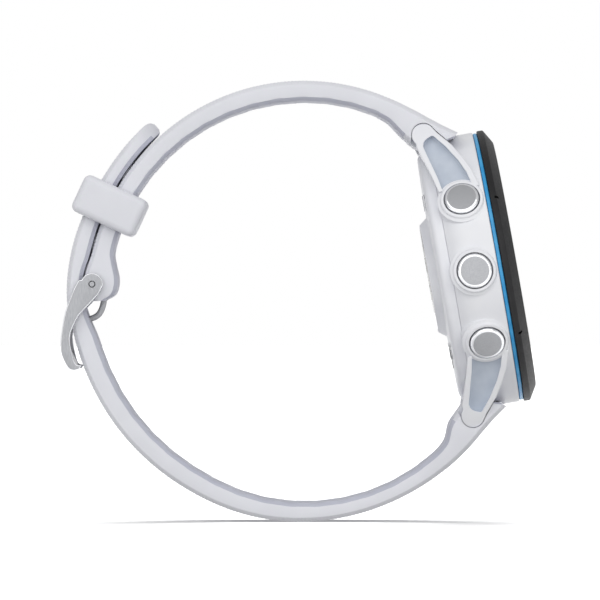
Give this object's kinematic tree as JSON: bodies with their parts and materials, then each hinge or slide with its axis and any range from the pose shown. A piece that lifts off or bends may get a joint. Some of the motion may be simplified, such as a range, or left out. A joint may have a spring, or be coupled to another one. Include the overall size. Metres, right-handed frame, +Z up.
{
  "type": "gps running watch",
  "caption": "Round sports watch on a buckled silicone band, with press buttons in the case sides, a flat display lens and a sensor window in the back.",
  "frame": {"origin": "middle of the watch's footprint, on the surface it stands on", "axes": "+X the way the display faces, before its backward tilt; +Y from the three-button side to the two-button side; +Z up"},
  "size_m": [0.0802, 0.0472, 0.0743],
  "materials": {
    "case_plastic": "fine matt moulded fibre-reinforced polymer",
    "bezel_polymer": "satin moulded polymer, near black",
    "blue_ring": "smooth gloss translucent blue",
    "lens_glass": "polished chemically hardened cover glass",
    "display": "dark display stack",
    "black_plastic": "moulded glass-filled polymer",
    "circuit_board": "green solder mask",
    "battery_foil": "laminated pouch foil",
    "steel_small": "stamped and turned stainless steel",
    "seal_rubber": "moulded nitrile rubber",
    "sensor_glass": "smoked polycarbonate window",
    "gold_contact": "gold-plated contact",
    "strap_silicone": "matt moulded silicone, pale grey white",
    "button_steel": "satin face with polished edge",
    "buckle_steel": "fine brushed faces with polished bevels"
  },
  "bodies": {
    "watch_case": {"mid_case": "case_plastic", "bezel": "bezel_polymer", "accent_ring": "blue_ring", "lens": "lens_glass", "display_panel": "display", "inner_chassis": "black_plastic", "main_board": "circuit_board", "battery": "battery_foil", "vibration_motor": "steel_small", "back_cover": "case_plastic", "back_gasket": "seal_rubber", "sensor_window": "sensor_glass", "sensor_board": "circuit_board", "back_screw_1": "steel_small", "back_screw_2": "steel_small", "back_screw_3": "steel_small", "back_screw_4": "steel_small", "charge_socket": "black_plastic", "charge_contact_1": "gold_contact", "charge_contact_2": "gold_contact", "charge_contact_3": "gold_contact", "charge_contact_4": "gold_contact", "light_dome_switch": "steel_small", "up_dome_switch": "steel_small", "down_dome_switch": "steel_small", "start_dome_switch": "steel_small", "back_dome_switch": "steel_small", "upper_bar_tube": "steel_small", "upper_bar_tip": "steel_small", "lower_bar_tube": "steel_small", "lower_bar_tip": "steel_small", "buckle_strap": "strap_silicone", "hole_strap": "strap_silicone"},
    "light_button": {"light_button_cap": "button_steel", "light_button_seal": "seal_rubber", "light_button_clip": "steel_small"},
    "up_button": {"up_button_cap": "button_steel", "up_button_seal": "seal_rubber", "up_button_clip": "steel_small"},
    "down_button": {"down_button_cap": "button_steel", "down_button_seal": "seal_rubber", "down_button_clip": "steel_small"},
    "start_button": {"start_button_cap": "button_steel", "start_button_seal": "seal_rubber", "start_button_clip": "steel_small"},
    "back_button": {"back_button_cap": "button_steel", "back_button_seal": "seal_rubber", "back_button_clip": "steel_small"},
    "upper_lever": {"upper_bar_lever": "steel_small"},
    "lower_lever": {"lower_bar_lever": "steel_small"},
    "keeper": {"keeper_loop": "strap_silicone"},
    "buckle": {"buckle_frame": "buckle_steel", "buckle_bar": "buckle_steel"},
    "tongue": {"buckle_tongue": "buckle_steel"}
  },
  "joints": [
    {"name": "light_press", "type": "slide", "parent": "watch_case", "child": "light_button", "axis": [0.0908, 0.8536, -0.513], "range_m": [0, 0.00045], "stiffness_N_per_m": 2000, "springref_m": -0.0006},
    {"name": "up_press", "type": "slide", "parent": "watch_case", "child": "up_button", "axis": [0, 1, 0], "range_m": [0, 0.00045], "stiffness_N_per_m": 2000, "springref_m": -0.0006},
    {"name": "down_press", "type": "slide", "parent": "watch_case", "child": "down_button", "axis": [-0.0908, 0.8536, 0.513], "range_m": [0, 0.00045], "stiffness_N_per_m": 2000, "springref_m": -0.0006},
    {"name": "start_press", "type": "slide", "parent": "watch_case", "child": "start_button", "axis": [0.0908, -0.8536, -0.513], "range_m": [0, 0.00045], "stiffness_N_per_m": 2000, "springref_m": -0.0006},
    {"name": "back_press", "type": "slide", "parent": "watch_case", "child": "back_button", "axis": [-0.0908, -0.8536, 0.513], "range_m": [0, 0.00045], "stiffness_N_per_m": 2000, "springref_m": -0.0006},
    {"name": "upper_bar_release", "type": "slide", "parent": "watch_case", "child": "upper_lever", "axis": [0, 1, 0], "range_m": [0, 0.0012], "stiffness_N_per_m": 400, "springref_m": -0.001},
    {"name": "lower_bar_release", "type": "slide", "parent": "watch_case", "child": "lower_lever", "axis": [0, 1, 0], "range_m": [0, 0.0012], "stiffness_N_per_m": 400, "springref_m": -0.001},
    {"name": "keeper_slide", "type": "hinge", "parent": "watch_case", "child": "keeper", "pos_m": [0.00091, 0.0004, 0.03795], "axis": [0, -1, 0], "range_deg": [-16, 4]},
    {"name": "buckle_lift", "type": "hinge", "parent": "watch_case", "child": "buckle", "pos_m": [-0.03478, 0.0004, 0.04004], "axis": [0, 1, 0], "range_deg": [0, 4]},
    {"name": "tongue_swing", "type": "hinge", "parent": "watch_case", "child": "tongue", "pos_m": [-0.03478, 0.0004, 0.04004], "axis": [0, 1, 0], "range_deg": [0, 4]}
  ],
  "couplings": [
    {"joint": "tongue_swing", "follows": "buckle_lift", "ratio": 1}
  ]
}
